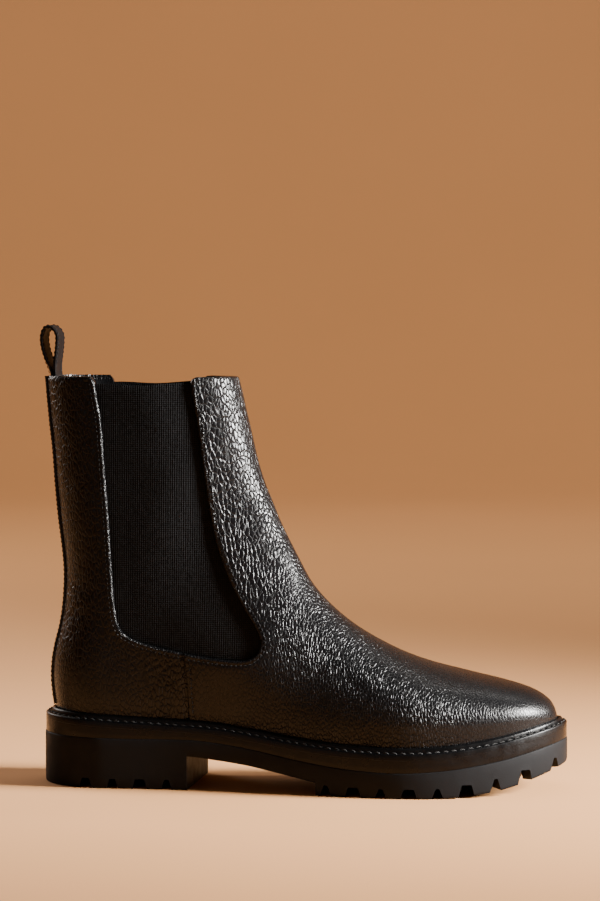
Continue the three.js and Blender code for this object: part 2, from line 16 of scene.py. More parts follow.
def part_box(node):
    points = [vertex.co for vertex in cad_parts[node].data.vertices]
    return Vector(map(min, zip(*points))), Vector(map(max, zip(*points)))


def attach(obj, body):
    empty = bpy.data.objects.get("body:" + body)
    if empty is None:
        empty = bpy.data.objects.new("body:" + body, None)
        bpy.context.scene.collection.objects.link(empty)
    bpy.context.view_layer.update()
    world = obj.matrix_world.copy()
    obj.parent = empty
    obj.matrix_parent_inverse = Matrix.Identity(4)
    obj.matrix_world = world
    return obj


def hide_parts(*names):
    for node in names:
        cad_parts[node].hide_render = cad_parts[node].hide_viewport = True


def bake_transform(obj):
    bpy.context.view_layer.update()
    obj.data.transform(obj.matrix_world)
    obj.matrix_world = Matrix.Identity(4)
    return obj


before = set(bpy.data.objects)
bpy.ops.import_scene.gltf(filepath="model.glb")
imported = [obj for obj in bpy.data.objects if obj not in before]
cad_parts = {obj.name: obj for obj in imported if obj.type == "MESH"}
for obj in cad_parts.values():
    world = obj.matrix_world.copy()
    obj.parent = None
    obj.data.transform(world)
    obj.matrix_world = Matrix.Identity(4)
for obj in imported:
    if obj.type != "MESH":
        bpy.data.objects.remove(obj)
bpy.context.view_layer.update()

# ---------- driving dimensions, in mm ----------
FEATHER_BACK = 6          # x where the upper meets the welt at the heel
FEATHER_TOE = 284         # x where the upper meets the welt at the toe
HEEL_ROUND = 33           # length over which the heel end rounds off
TOE_ROUND = 80            # length over which the toe rounds off
BACK_SHARE = 0.95         # an outline grows this much at its back for each mm at its sides
TOE_SHARE = 0.72          # and this much at its toe
TOP_Z = 224.5             # height of the topline
SOLE_REACH = 6.3          # how far the sole stands out beyond the upper
LEATHER = 1.8
ELASTIC_DEPTH = 2.1       # depth of the elastic's face below the leather's
ELASTIC = 1.2
LINING_DEPTH = 3.6
LINING = 1.0
LAP = 9                   # how far the elastic runs on under the leather
SEAM_STEP = 0.9           # spacing of the mesh along a seam
HEEL_BREAST = 85
TREAD_BACK = 157
LUG_PITCH = 14.9
TAB_HALF = 9
TAB_THICK = 1.6
TAB_STITCH_IN = 1.7       # distance of the tab's stitches from its edge
STAY_HALF = 9
STAY_STITCH_IN = 1.8
STITCH_IN = 2.6           # distance of the upper's stitches from an edge
STITCH_PITCH = 2.6        # from one stitch's middle to the next one's
STITCH_LENGTH = 1.9
# The heel's gaps: x, width at the ground and width at the root.
HEEL_GAPS = ((28.5, 7.2, 4.4), (43.7, 6, 3.6), (58.8, 8.2, 5.4), (73.7, 5.6, 2.8))
HEEL_GAP_ROOT = 5.4       # height that the heel's gaps reach up to
WIDE_GAP = (8.8, 5.8)     # the forefoot's gaps, by turns: width at the ground and the root
NARROW_GAP = (6.2, 2.4)
RIM = 21                  # width of the ring of lugs round the sole's edge
WALL_MARGIN = 6.35        # how far the welt and the midsole stand out beyond the upper
V_SCALE = 3.6             # v is stretched by this, so that mesh cells come out square
FIELD_GAP = 0.75          # mesh points in a piece's field keep this far from its seams
# Distances of the lines of mesh points that follow a seam, and of those under the topline.
RAILS = (0.45, 0.9, 1.5, 2.1, 2.6, 3.2, 4.2)
TOPLINE_RAILS = (0.5, 1.1, 1.9, 2.8, 4)
TOPLINE_SECTION = 9       # height that one section of the upper is taken to span at the topline


def smooth(table):
    """A smooth function through [x, value] pairs, held level past its ends."""
    xs, ys = np.array(table, float).T
    last = len(xs) - 1
    before = np.maximum(np.arange(last + 1) - 1, 0)
    after = np.minimum(np.arange(last + 1) + 1, last)
    slope = (ys[after] - ys[before]) / (xs[after] - xs[before])

    def curve(x):
        x = np.clip(x, xs[0], xs[-1])
        i = np.clip(np.searchsorted(xs, x, side="right") - 1, 0, last - 1)
        h = xs[i + 1] - xs[i]
        t = (x - xs[i]) / h
        return (
            (2 * t**3 - 3 * t**2 + 1) * ys[i]
            + (t**3 - 2 * t**2 + t) * h * slope[i]
            + (3 * t**2 - 2 * t**3) * ys[i + 1]
            + (t**3 - t**2) * h * slope[i + 1]
        )

    return curve


def ramp(x, low, high):
    """0 below low, 1 above high, and smooth between them."""
    t = np.clip((np.asarray(x, float) - low) / (high - low), 0, 1)
    return t * t * (3 - 2 * t)


# ---------- profiles along the boot: [x, value] ----------
body_half = smooth([
    [0, 28.5], [45, 28.8], [85, 27.4], [110, 27.8], [140, 31.5],
    [170, 38], [200, 43], [225, 44.2], [250, 44], [290, 43],
])
centre = smooth([[0, 0], [60, 0], [110, -2.5], [150, -3], [200, -1.5], [240, 2.5], [290, 8]])
feather_z = smooth([
    [0, 39.3], [30, 37.8], [67, 36], [100, 34.3], [122, 31.3], [149, 27.4],
    [175, 25.2], [200, 24.4], [225, 25.3], [250, 28.4], [270, 32.6], [290, 37.6],
])
midsole_z = smooth([
    [0, 28], [50, 27.2], [86, 27.2], [103, 25.8], [122, 23], [149, 18],
    [176, 14.7], [203, 13.6], [230, 15.3], [257, 19.6], [278, 24.8], [290, 28],
])
root_z = smooth([
    [0, 18.6], [85, 18.4], [99, 17], [120, 14.2], [147, 8.8], [162, 6],
    [180, 5.3], [203, 5.2], [225, 5.8], [245, 8.6], [262, 12.2], [278, 17], [290, 21],
])
toe_spring = smooth([[0, 0], [212, 0], [228, 0.3], [246, 2], [262, 5], [276, 9.6], [290, 15]])
back_x = smooth([
    [38, 6], [44, 5.2], [56, 4], [66, 4.3], [76, 6], [86, 8.6], [96, 10.3], [110, 11.3],
    [120, 11.2], [132, 10], [146, 8.2], [165, 6.4], [184, 5], [200, 3.2], [224.5, 0.9],
])


def ground_z(x):
    return np.maximum(0, toe_spring(x))


# The upper as planes that fan round the ankle, toe to topline: foot x and z, ridge x and z,
# half width of the shaft there, how much of that it takes, and where its crown starts.
SECTIONS = np.array([
    [283.9, 36.4, 283.9, 37.4, 34, 0, 0.3],
    [281.6, 35.8, 281.6, 44.6, 34, 0, 0.3],
    [277.5, 34.6, 277.5, 49.6, 34, 0, 0.3],
    [269, 32.4, 269, 54.4, 34, 0, 0.3],
    [254, 29.1, 254, 58.8, 34, 0, 0.3],
    [236, 26.5, 236, 63, 34, 0, 0.3],
    [214, 24.8, 216, 68.2, 34, 0, 0.3],
    [191, 24.6, 197, 75.2, 34, 0.1, 0.28],
    [168, 25.7, 181.6, 83.2, 33.6, 0.3, 0.26],
    [144, 28.1, 168.9, 91.8, 33.2, 0.6, 0.26],
    [116, 32.2, 158, 101.6, 32.8, 0.85, 0.28],
    [84, 35.2, 149, 112.4, 32.4, 1, 0.32],
    [50, 36.8, 142, 124.6, 32, 1, 0.36],
    [24, 38.1, 136, 136, 31.6, 1, 0.4],
    [10, 38.9, 131, 146, 31.2, 1, 0.43],
    [5.6, 41, 127.6, 154, 31, 1, 0.45],
    [4, 56, 123.4, 164, 30.6, 1, 0.46],
    [6, 76, 119.6, 175.6, 30.2, 1, 0.47],
    [10.3, 96, 116.6, 187.4, 29.8, 1, 0.48],
    [11.3, 118, 114.2, 197.6, 29.4, 1, 0.5],
    [8.6, 143, 112, 207, 29, 1, 0.5],
    [6.1, 170, 110.4, 214.4, 28.8, 1, 0.5],
    [3.4, 198, 109, 220, 28.6, 1, 0.5],
    [0.9, TOP_Z, 107.8, TOP_Z, 28.5, 1, 0.5],
])
LAST = len(SECTIONS) - 1
CORNER = 15               # the section through the bottom of the heel's back
CROWN = 2.1               # power of the curve that closes a section over its ridge
BULGE = 1.6               # the foot stands out this much over the feather line
BULGE_HIGH = 16           # height at which it does so
foot_line, foot_z, ridge_x, ridge_z, shaft_half, shaft_share, rise = (
    smooth(np.column_stack([np.arange(LAST + 1), SECTIONS[:, k]])) for k in range(7)
)

# Outlines of the pieces, seen from the side: x, z.
GORE = [
    (28.4, 224.5), (30.6, 224), (32.3, 222.4), (33, 219.6), (34.2, 213), (36.4, 201),
    (38.5, 174), (40.7, 146), (42.8, 113.5), (44.5, 97), (46.9, 87.4), (52.5, 82.4),
    (64, 78.4), (83, 74.4), (97, 72.2), (111, 71),
    (119.5, 72), (124.6, 76.4), (125.4, 82), (122.7, 88.6), (115, 101), (106.7, 116.4),
    (99.6, 136), (95.2, 158), (91.4, 185), (88.1, 206.7), (86.2, 217.6),
    (85.9, 221), (87, 223.6), (90, 224.5),
]
GORE_ROUNDED = 3          # points at each end of that line which only round the leather's corner
ELASTIC_TOP = [(33, 220.6), (58, 220), (86, 221.6)]
SIDE_SEAM = [(83, 74.4), (84.2, 62), (84.8, 50), (85.2, 35.2)]


# ---------- the upper's surface ----------
def rounded_end(distance, length):
    t = 1 - np.clip(distance / length, 0, 1)
    return np.sqrt(1 - t * t)


def side_view(u, q):
    """Where section u's point q, 0 at the foot and 1 at the ridge, shows from the side."""
    upright = ramp(u, CORNER - 3, CORNER + 2)
    low = np.sin(math.pi / 2 * q)
    r = low + (((1 - np.cos(math.pi * q)) / 2) - low) * upright
    foot = np.where(u > CORNER, back_x(foot_z(u)), foot_line(u))
    x = foot + r * (ridge_x(u) - foot)
    z = foot_z(u) + r * (ridge_z(u) - foot_z(u))
    return x, z, r, upright


def skin(u, v):
    """The leather's outer face. v runs from 0 at the outer foot over 1, the ridge, to 2."""
    v = np.mod(v, 2)
    q = 1 - np.abs(1 - v)
    x, z, r, upright = side_view(u, q)
    high = np.clip((z - feather_z(x)) / BULGE_HIGH, 0, 1)
    foot = (body_half(x) + BULGE * np.sin(math.pi / 2 * high))
    foot = foot * rounded_end(FEATHER_TOE - x, TOE_ROUND)
    away = ramp(z - feather_z(x), 0, 40)
    full = foot + (shaft_half(u) - foot) * shaft_share(u) * away
    start = rise(u)
    over = np.clip((r - start) / (1 - start), 0, 1)
    crown = (1 - over**CROWN) ** (1 / CROWN)
    half = full * crown * rounded_end(x - back_x(z), HEEL_ROUND)
    y = centre(x) * (1 - upright) + np.where(v < 1, -1, 1) * half
    return np.stack([x, y, z], -1)


def skin_normal(u, v):
    """Unit normal of the outer face, pointing outwards."""
    du, dv = 0.03, 0.012
    along = skin(np.minimum(u + du, LAST), v) - skin(np.maximum(u - du, 0), v)
    open_edge = u <= CORNER
    low = np.where(open_edge, np.maximum(v - dv, 0), v - dv)
    high = np.where(open_edge, np.minimum(v + dv, 1.99999), v + dv)
    across = skin(u, high) - skin(u, low)
    normal = np.cross(across, along)
    return normal / np.maximum(np.linalg.norm(normal, axis=-1, keepdims=True), 1e-9)


def locate(points):
    """The section and v of the outer side whose points show at each x, z from the side."""
    points = np.asarray(points, float)
    us, qs = np.meshgrid(np.linspace(0, LAST, 180), np.linspace(0.01, 0.995, 70), indexing="ij")
    gx, gz, _, _ = side_view(us, qs)
    spread = (gx.ravel() - points[:, :1]) ** 2 + (gz.ravel() - points[:, 1:]) ** 2
    best = spread.argmin(1)
    u, q = us.ravel()[best], qs.ravel()[best]
    e = 1e-4
    for _ in range(12):
        x, z, _, _ = side_view(u, q)
        xu, zu, _, _ = side_view(u + e, q)
        xq, zq, _, _ = side_view(u, q + e)
        a, b, c, d = (xu - x) / e, (xq - x) / e, (zu - z) / e, (zq - z) / e
        det = a * d - b * c
        det = np.where(np.abs(det) < 1e-6, 1e-6, det)
        gap_x, gap_z = points[:, 0] - x, points[:, 1] - z
        u = np.clip(u + np.clip((d * gap_x - b * gap_z) / det, -0.5, 0.5), 0, LAST)
        q = np.clip(q + np.clip((a * gap_z - c * gap_x) / det, -0.1, 0.1), 0, 1)
    return np.column_stack([u, q])


# ---------- outlines seen from the side ----------
def dense(path, step=SEAM_STEP):
    """A smooth line through the points, with points about step apart."""
    path = np.asarray(path, float)
    run = np.r_[0, np.cumsum(np.linalg.norm(np.diff(path, axis=0), axis=1))]
    t = np.linspace(0, run[-1], max(2, round(run[-1] / step) + 1))
    return np.column_stack([smooth(np.column_stack([run, path[:, k]]))(t) for k in range(2)])


def beside(path, distance):
    """The same line moved sideways, to the left of its run if distance is positive."""
    step = np.gradient(path, axis=0)
    step /= np.linalg.norm(step, axis=1, keepdims=True)
    return path + distance * np.column_stack([-step[:, 1], step[:, 0]])


GORE_LINE = dense(GORE)
gore_corner = int(np.argmin(np.hypot(*(GORE_LINE - np.array(SIDE_SEAM[0])).T)))
QUARTER_EDGE = GORE_LINE[: gore_corner + 1]
VAMP_EDGE = GORE_LINE[gore_corner:]
SEAM_LINE = dense(SIDE_SEAM)


# ---------- meshes ----------
def to_frame(points):
    """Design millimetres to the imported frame's metres."""
    return (np.asarray(points, float) + SHIFT) / 1000


def mesh_object(name, points, faces, material, smooth_angle=None):
    mesh = bpy.data.meshes.new(name)
    mesh.from_pydata([tuple(p) for p in to_frame(points)], [], [tuple(f) for f in faces])
    mesh.validate()
    mesh.shade_smooth()
    if smooth_angle:
        mesh.set_sharp_from_angle(angle=math.radians(smooth_angle))
    mesh.materials.append(material)
    obj = bpy.data.objects.new(name, mesh)
    bpy.context.scene.collection.objects.link(obj)
    return obj


def float_attribute(obj, name, values):
    obj.data.attributes.new(name, "FLOAT", "POINT").data.foreach_set("value", values)


sole_low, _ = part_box("lug_sole")
tab_low, tab_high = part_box("pull_tab")
SOLE_BACK = FEATHER_BACK - SOLE_REACH * BACK_SHARE + 0.12
SHIFT = np.array([
    sole_low[0] * 1000 - SOLE_BACK,
    (tab_low[1] + tab_high[1]) * 500,
    sole_low[2] * 1000,
])


def nearest(lines, points):
    """Distance from each point to the nearest of the lines' points."""
    spots = np.concatenate(lines)
    tree = KDTree(len(spots))
    for i, spot in enumerate(spots):
        tree.insert(spot, i)
    tree.balance()
    return np.array([tree.find(p)[2] for p in points])


def mirrored(uv):
    """The twin of a line, on the boot's other side."""
    return np.column_stack([uv[:, 0], 2 - uv[:, 1]])


def both_sides(uv):
    return uv, mirrored(uv)


def tube_faces(count, n):
    """Faces that join count rings of n points each and close both ends."""
    faces = [
        (i * n + j, i * n + (j + 1) % n, (i + 1) * n + (j + 1) % n, (i + 1) * n + j)
        for i in range(count - 1)
        for j in range(n)
    ]
    faces.append(tuple(range(n))[::-1])
    faces.append(tuple(range((count - 1) * n, count * n)))
    return faces


def patch(name, loop, rails, material, lift, depth, spacing=(0.085, 0.02)):
    """A closed piece of the upper: the skin inside a (u, v) loop, with extra points on rails.

    lift(points, uv) is how far each point stands out of the skin, and depth(points, uv) how
    far in its back lies."""
    u0, v0 = loop.min(0)
    u1, v1 = loop.max(0)
    us = np.arange(u0 + spacing[0] / 2, u1, spacing[0])
    vs = np.arange(v0 + spacing[1] / 2, v1, spacing[1])
    field = np.stack(np.meshgrid(us, vs, indexing="ij"), -1).reshape(-1, 2)
    loop_spots = skin(*loop.T)
    crowd = np.concatenate([loop] + rails)
    crowd_spots = [skin(*crowd.T)]
    clear = nearest(crowd_spots, skin(*field.T)) > FIELD_GAP
    extra = np.concatenate(rails) if rails else np.empty((0, 2))
    points = np.concatenate([loop, extra, field[clear]])
    flat = [Vector((u, v * V_SCALE)) for u, v in points]
    n = len(loop)
    rim = [(i, (i + 1) % n) for i in range(n)]
    verts, _, tris, _, _, _ = delaunay_2d_cdt(flat, rim, [], 1, 1e-7)
    uv = np.array([(p.x, p.y / V_SCALE) for p in verts])
    base = skin(*uv.T)
    normal = skin_normal(*uv.T)
    edge = nearest([loop_spots], base)
    front = base + normal * lift(base, uv, edge)[:, None]
    back = base - normal * depth(base, uv, edge)[:, None]
    faces = np.array([tuple(t) for t in tris])
    a, b, c = (front[faces[:, k]] for k in range(3))
    turned = np.sum(np.cross(b - a, c - a) * normal[faces[:, 0]]) < 0
    faces = faces[:, ::-1] if turned else faces
    count = len(front)
    directed = dict.fromkeys(
        (tri[k], tri[(k + 1) % 3]) for tri in faces.tolist() for k in range(3)
    )
    walls = [(j, i, i + count, j + count) for i, j in directed if (j, i) not in directed]
    back_faces = (faces[:, ::-1] + count).tolist()
    shell = faces.tolist() + back_faces + walls
    obj = mesh_object(name, np.concatenate([front, back]), shell, material, 50)
    return obj, base


def loop_of(*parts):
    """A closed (u, v) loop from parts, without points that repeat."""
    joined = np.concatenate(parts)
    keep = [0]
    for i in range(1, len(joined)):
        if np.hypot(*(joined[i] - joined[keep[-1]])) > 1e-4:
            keep.append(i)
    if np.hypot(*(joined[keep[-1]] - joined[0])) < 1e-4:
        keep.pop()
    return joined[keep]


def line_u(u0, u1, v, step=0.06):
    """A (u, v) line along which only u changes."""
    u = np.linspace(u0, u1, max(2, int(abs(u1 - u0) / step)))
    return np.column_stack([u, np.full_like(u, v)])


def line_v(u, v0, v1, step=0.012):
    v = np.linspace(v0, v1, max(2, int(abs(v1 - v0) / step)))
    return np.column_stack([np.full_like(v, u), v])


def rolled(edge, roll, drop):
    """Height profile of a folded edge: it falls away round within roll of the edge."""
    t = np.clip(1 - edge / roll, 0, 1)
    return -drop * (1 - np.sqrt(np.clip(1 - t * t, 0, 1)))


def stitch_groove(distance, at):
    """The shallow trough that a row of stitches pulls into leather."""
    return -0.28 * np.exp(-(((distance - at) / 0.55) ** 2))


def rails_beside(path, side):
    """Lines of mesh points that follow a seam on one side of it."""
    return [locate(beside(path, side * distance)) for distance in RAILS]


def ripple(points, size, seed):
    """A soft random height field about size mm across, from -1 to 1."""
    rng = np.random.default_rng(seed)
    total = np.zeros(len(points))
    for _ in range(10):
        way = rng.normal(size=3)
        way /= np.linalg.norm(way)
        pitch = size * rng.uniform(1.2, 2.6)
        total += np.sin(points @ way * 2 * math.pi / pitch + rng.uniform(0, 6.28))
    return total / 5


# Creases: x and z of both ends, depth and width.
CREASES = [
    (70, 72, 82, 50, 0.45, 1.5), (62, 76, 76, 52, 0.35, 1.6), (54, 78, 66, 58, 0.25, 1.6),
    (118, 128, 140, 116, 0.5, 3.2), (124, 140, 136, 130, 0.4, 3), (150, 84, 168, 70, 0.35, 3.4),
    (128, 98, 150, 96, 0.35, 3.2), (164, 66, 190, 52, 0.3, 3.6), (104, 182, 112, 176, 0.25, 3),
    (102, 150, 120, 142, 0.35, 3.2), (12, 96, 34, 92, 0.3, 2.6), (12, 112, 38, 106, 0.25, 2.6),
]


def creases(points):
    total = np.zeros(len(points))
    for x0, z0, x1, z1, deep, wide in CREASES:
        run = np.array([x1 - x0, z1 - z0], float)
        away = points[:, [0, 2]] - (x0, z0)
        t = np.clip(away @ run / (run @ run), 0, 1)
        distance = np.linalg.norm(away - t[:, None] * run, axis=1)
        total -= deep * np.sin(math.pi * t) * np.exp(-((distance / wide) ** 2))
    return total


def leather_swell(points):
    return 0.22 * ripple(points, 22, 3) + creases(points)


# ---------- materials ----------
class Nodes:
    """Short calls that add nodes to one material and join them."""

    def __init__(self, name):
        self.material = bpy.data.materials.new(name)
        self.material.use_nodes = True
        self.tree = self.material.node_tree
        self.shader = self.tree.nodes["Principled BSDF"]

    def link(self, source, target):
        self.tree.links.new(source, target)

    def fill(self, node, **sockets):
        """Sets the node's sockets, or joins them to the output of another node."""
        for name, value in sockets.items():
            socket = node.inputs[name.replace("_", " ")]
            if isinstance(value, bpy.types.NodeSocket):
                self.link(value, socket)
            else:
                socket.default_value = value
        return node

    def set(self, **values):
        self.fill(self.shader, **values)

    def node(self, kind, **values):
        made = self.tree.nodes.new("ShaderNode" + kind)
        for name, value in values.items():
            setattr(made, name, value)
        return made

    def spot(self, scale):
        """Object coordinates times a scale for each axis."""
        place = self.node("TexCoord").outputs["Object"]
        return self.fill(self.node("Mapping"), Scale=scale, Vector=place).outputs["Vector"]

    def noise(self, scale, detail):
        place = self.spot((1, 1, 1))
        made = self.fill(self.node("TexNoise"), Scale=scale, Detail=detail, Vector=place)
        return made.outputs["Fac"]

    def math(self, operation, a, b):
        made = self.node("Math", operation=operation)
        for socket, value in zip(made.inputs, (a, b)):
            if isinstance(value, (int, float)):
                socket.default_value = value
            else:
                self.link(value, socket)
        return made.outputs[0]

    def span(self, value, low, high, to_low, to_high):
        """value with the span from low to high turned into that from to_low to to_high."""
        made = self.fill(
            self.node("MapRange"), Value=value,
            From_Min=low, From_Max=high, To_Min=to_low, To_Max=to_high,
        )
        return made.outputs["Result"]

    def attribute(self, name):
        return self.node("Attribute", attribute_name=name).outputs["Fac"]

    def cell_edges(self, scale, where):
        """Distance to the nearest border of random cells, scale of them to the metre."""
        made = self.node("TexVoronoi", feature="DISTANCE_TO_EDGE")
        return self.fill(made, Scale=scale, Vector=where).outputs["Distance"]

    def wave(self, way, scale, distortion, detail, where):
        made = self.node("TexWave", wave_type="BANDS", bands_direction=way)
        self.fill(made, Scale=scale, Distortion=distortion, Detail=detail, Vector=where)
        return made.outputs["Fac"]

    def bump(self, height, strength, distance, under=None):
        made = self.node("Bump")
        self.fill(made, Strength=strength, Distance=distance, Height=height)
        if under is not None:
            self.link(under, made.inputs["Normal"])
        return made.outputs["Normal"]

    def tint(self, value, low, high):
        made = self.node("Mix", data_type="RGBA")
        self.fill(made, A=(*low, 1), B=(*high, 1), Factor=value)
        self.set(Base_Color=made.outputs["Result"])

    def rough(self, value):
        self.set(Roughness=value)

    def normal(self, value):
        self.set(Normal=value)


def leather_material():
    """Milled leather: low flat pebbles parted by fine matt valleys that carry painted shade; the
    pebbles are smaller on the foot.
    """
    m = Nodes("pebbled_leather")
    wobble = m.fill(m.node("TexNoise"), Scale=260, Vector=m.spot((1, 1, 1)))
    warp = m.node("VectorMath", operation="MULTIPLY_ADD")
    m.link(wobble.outputs["Color"], warp.inputs[0])
    warp.inputs[1].default_value = (0.0007, 0.0007, 0.0007)
    m.link(m.spot((1.0, 0.8, 0.52)), warp.inputs[2])
    coarse, fine = (m.cell_edges(scale, warp.outputs[0]) for scale in (500, 700))
    fine_share = m.attribute("fine_grain")
    cells = m.math("ADD", coarse, m.math("MULTIPLY", fine_share, m.math("SUBTRACT", fine, coarse)))
    pebbles = m.span(cells, 0.0, 0.13, 0, 1)
    domes = m.span(cells, 0.0, 0.42, 0, 0.8)
    height = m.math("MULTIPLY", m.math("ADD", pebbles, domes), m.attribute("grain"))
    skin_grain = m.bump(m.noise(2400, 3), 0.04, 0.0003)
    m.normal(m.bump(height, 0.85, 0.00015, skin_grain))
    # Painted shade: the valleys between the pebbles get a darker colour than the pebbles' tops.
    m.tint(pebbles, (0.0004, 0.0004, 0.0005), (0.003, 0.003, 0.0034))
    uneven = m.span(m.noise(90, 3), 0.3, 0.7, 0.88, 1)
    valleys = m.math("SUBTRACT", 1, m.math("MULTIPLY", pebbles, uneven))
    m.rough(m.span(valleys, 0, 1, 0.22, 0.42))
    m.set(Specular_IOR_Level=0.19)
    return m.material


def smooth_leather_material():
    """Smooth finished leather for the stay, the tab and the lining."""
    m = Nodes("smooth_leather")
    cells = m.cell_edges(900, m.spot((1, 1, 1)))
    fine = m.bump(m.noise(2200, 4), 0.1, 0.0003)
    m.normal(m.bump(m.span(cells, 0, 0.25, 0, 1), 0.45, 0.0002, fine))
    m.tint(m.noise(80, 3), (0.0015, 0.0015, 0.0017), (0.004, 0.004, 0.0044))
    m.rough(m.span(m.noise(120, 3), 0.3, 0.7, 0.36, 0.5))
    m.set(Specular_IOR_Level=0.07)
    return m.material


def elastic_material():
    """Knitted elastic: upright ribs crossed by fine weft."""
    m = Nodes("elastic")
    ribs = m.wave("X", 260, 0.6, 1, m.spot((1, 0.2, 0.04)))
    weft = m.wave("Z", 300, 1.4, 2, m.spot((1, 1, 1)))
    uneven = m.span(m.noise(420, 4), 0.3, 0.7, 0.4, 1.0)
    weave = m.math("MULTIPLY", m.math("ADD", ribs, weft), uneven)
    m.normal(m.bump(weave, 0.8, 0.0003))
    m.tint(weave, (0.0006, 0.0006, 0.0007), (0.0075, 0.0077, 0.0082))
    m.set(Roughness=0.8, Specular_IOR_Level=0.05)
    return m.material


def rubber_material():
    m = Nodes("sole_rubber")
    m.normal(m.bump(m.noise(1400, 5), 0.25, 0.0003))
    m.tint(m.noise(60, 4), (0.004, 0.0042, 0.0047), (0.0065, 0.0068, 0.0075))
    m.rough(m.span(m.noise(150, 4), 0.3, 0.7, 0.5, 0.66))
    m.set(Specular_IOR_Level=0.08)
    return m.material


def welt_material():
    m = Nodes("welt_leather")
    m.normal(m.bump(m.noise(700, 5), 0.3, 0.0004))
    m.tint(m.noise(70, 4), (0.0005, 0.0005, 0.0006), (0.002, 0.002, 0.0023))
    m.rough(m.span(m.noise(160, 3), 0.3, 0.7, 0.24, 0.4))
    m.set(Specular_IOR_Level=0.15)
    return m.material


def thread_material(name, color, roughness):
    m = Nodes(name)
    m.normal(m.bump(m.wave("DIAGONAL", 900, 0, 2, m.spot((1, 1, 1))), 0.6, 0.0002))
    m.set(Base_Color=(*color, 1), Roughness=roughness, Specular_IOR_Level=0.15)
    return m.material


def plain_material(name, color, roughness, metallic=0.0):
    m = Nodes(name)
    m.normal(m.bump(m.noise(500, 4), 0.25, 0.0004))
    m.set(Base_Color=(*color, 1), Roughness=roughness, Metallic=metallic)
    return m.material


LEATHER_MAT = leather_material()
SMOOTH_MAT = smooth_leather_material()
ELASTIC_MAT = elastic_material()
RUBBER_MAT = rubber_material()
WELT_MAT = welt_material()
THREAD_MAT = thread_material("black_thread", (0.006, 0.006, 0.0065), 0.55)
WELT_THREAD_MAT = thread_material("welt_thread_black", (0.014, 0.0138, 0.0135), 0.5)


def bends_with_vamp(obj):
    """Bakes obj's placement into its mesh and leaves it hung on no body."""
    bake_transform(obj)


def stretches_with_gore(obj):
    """Bakes obj's placement into its mesh and leaves it hung on no body."""
    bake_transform(obj)


def fixed(obj, slot, *nodes):
    """obj stands for those nodes and doesn't move on the boot; slot is not used."""
    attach(obj, "boot")
    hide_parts(*nodes)


# ---------- leather pieces ----------
def leather_depth(points, uv, edge):
    """Leather and lining are turned in together at the topline, so the edge is thicker."""
    turned_in = LINING_DEPTH + 0.5
    return LEATHER + (turned_in - LEATHER) * ramp(points[:, 2], TOP_Z - 7, TOP_Z - 3)


def around(points, x, z, wide, high):
    """1 at a spot of the side view, fading to 0 past it."""
    return np.exp(-(((points[:, 0] - x) / wide) ** 2) - ((points[:, 2] - z) / high) ** 2)


def grain_strength(points):
    """Pebbles are boldest on the shaft and pulled smooth over the toe and the heel."""
    toe = 1 - 0.78 * ramp(points[:, 0], 205, 262)
    heel = 1 - 0.7 * around(points, 20, 52, 34, 22)
    seam = 1 - 0.8 * around(points, 104, 54, 16, 17) + 0.7 * around(points, 74, 58, 9, 15)
    front = 1 + 0.35 * ramp(points[:, 2], 90, 150) * ramp(points[:, 0], 70, 95)
    return toe * heel * seam * front


def leather_finish(obj, base):
    """The attributes that the leather's material reads, for a face and its back."""
    forward = base[:, 0] - 0.6 * (base[:, 2] - 80)
    foot = ramp(forward, 95, 150)
    float_attribute(obj, "grain", np.tile(grain_strength(base), 2))
    float_attribute(obj, "fine_grain", np.tile(foot, 2))


def vamp_piece():
    edge_uv = locate(VAMP_EDGE)
    seam_uv = locate(SEAM_LINE)
    seam_uv[-1, 1] = 0
    foot_u = seam_uv[-1, 0]
    edge_uv[-1, 0] = LAST
    outer = np.concatenate([line_u(0, foot_u, 0), seam_uv[::-1], edge_uv])
    inner = mirrored(outer[::-1])
    top = line_v(LAST, edge_uv[-1, 1], 2 - edge_uv[-1, 1])
    loop = loop_of(outer, top, inner, line_v(0, 2, 0, 0.1))
    rails = []
    for line in rails_beside(np.concatenate([SEAM_LINE[::-1], VAMP_EDGE[1:]]), -1):
        rails += both_sides(line[(line[:, 1] > 0.004) & (line[:, 0] < LAST - 0.02)])
    for low in TOPLINE_RAILS:
        u = LAST - low / TOPLINE_SECTION
        rails.append(line_v(u, edge_uv[-1, 1] + 0.02, 1.98 - edge_uv[-1, 1]))
    seams = np.concatenate(both_sides(np.concatenate([seam_uv, edge_uv])))
    seam_spots = skin(*seams.T)

    def lift(points, uv, edge):
        seam = nearest([seam_spots], points)
        # The foot of the leather runs under the welt, so it isn't folded there.
        off = np.where(points[:, 2] < 45 + 12 * (points[:, 0] < 100), 5.0, edge)
        roll = rolled(np.minimum(seam, off), 1.1, 0.75)
        top_edge = rolled(np.abs(TOP_Z - points[:, 2]), 1.4, 0.8)
        shape = np.minimum(roll, top_edge) + stitch_groove(seam, STITCH_IN)
        return shape + 0.35 * np.exp(-(seam / 6) ** 2) + leather_swell(points) * ramp(seam, 1, 7)

    obj, base = patch("vamp_leather", loop, rails, LEATHER_MAT, lift, leather_depth)
    leather_finish(obj, base)
    bends_with_vamp(obj)
    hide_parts("vamp", "shaft_front")


